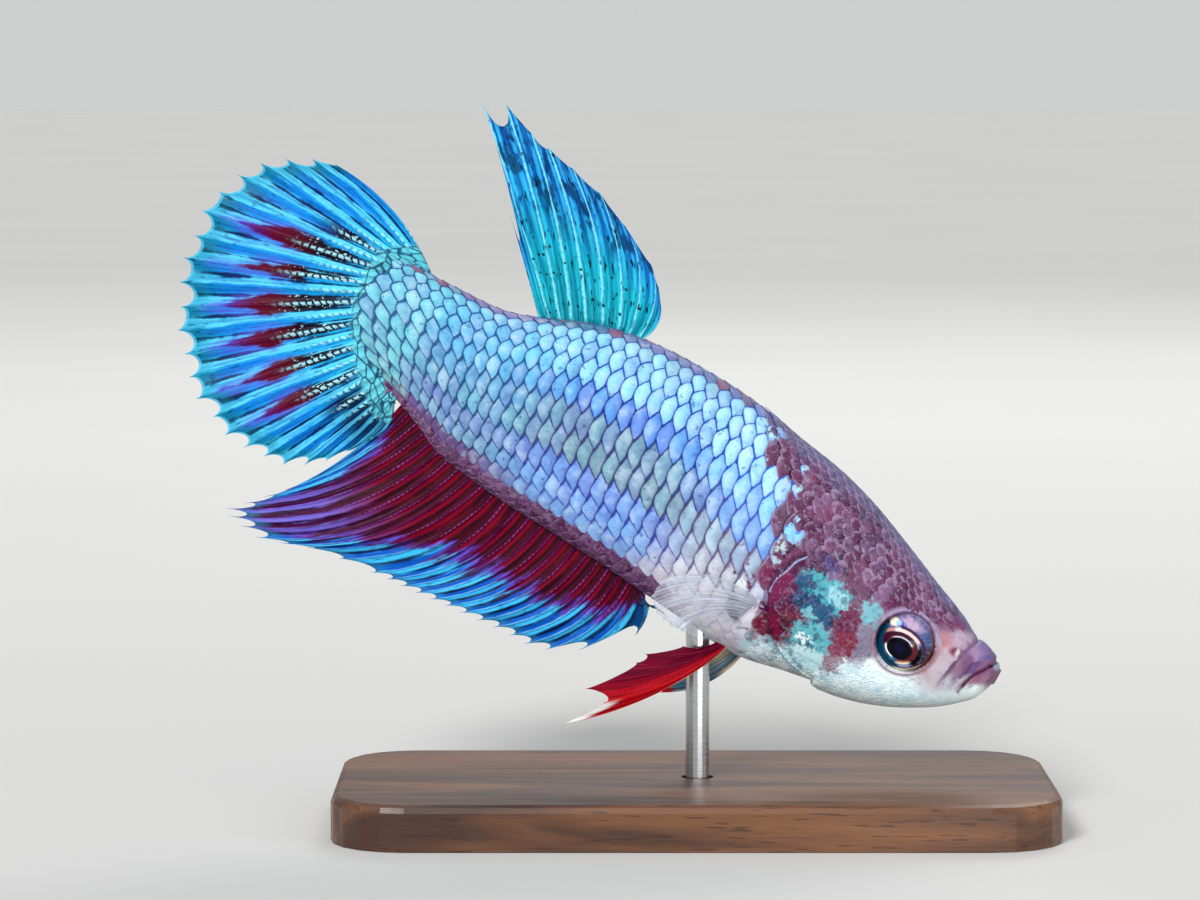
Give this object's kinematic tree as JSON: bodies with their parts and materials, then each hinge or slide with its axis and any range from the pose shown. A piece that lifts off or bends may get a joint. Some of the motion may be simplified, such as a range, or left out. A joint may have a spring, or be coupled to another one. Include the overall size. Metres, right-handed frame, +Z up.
{
  "type": "betta fish",
  "caption": "Slim-bodied betta fish, nose down, with a fan tail, tall dorsal, long anal fin and small paired fins, on one rod over a flat base.",
  "frame": {"origin": "centre of the underside of the stand's base", "axes": "+X towards the fish's head, +Y to its left side, +Z up"},
  "size_m": [0.059, 0.024, 0.0482],
  "materials": {
    "head_skin": "mauve scaled skin, soft gloss",
    "lip_skin": "lilac bare skin, soft gloss",
    "eye_surface": "clear wet eyeball with a copper ring",
    "gill_cover_skin": "turquoise and wine patches, soft gloss",
    "trunk_skin": "pale blue scales with dark blue edges",
    "tail_skin": "teal-grey scales with dark edges",
    "dorsal_web": "turquoise to blue web with pale rays",
    "anal_web": "wine red web with blue tips",
    "caudal_web": "blue web with wine red wedges",
    "pectoral_web": "pearly thin web",
    "pelvic_web": "deep red web with white tips",
    "base_wood": "dark oiled walnut",
    "rod_steel": "brushed"
  },
  "bodies": {
    "root": {"head": "head_skin", "jaw_upper": "lip_skin", "jaw_lower": "lip_skin", "eye_right": "eye_surface", "eye_left": "eye_surface", "gill_cover_right": "gill_cover_skin", "gill_cover_left": "gill_cover_skin", "trunk": "trunk_skin", "tail": "tail_skin", "dorsal_fin": "dorsal_web", "anal_fin": "anal_web", "caudal_fin": "caudal_web", "pectoral_fin_right": "pectoral_web", "pectoral_fin_left": "pectoral_web", "pelvic_fin_right": "pelvic_web", "pelvic_fin_left": "pelvic_web", "stand_base": "base_wood", "stand_rod": "rod_steel"}
  },
  "joints": []
}
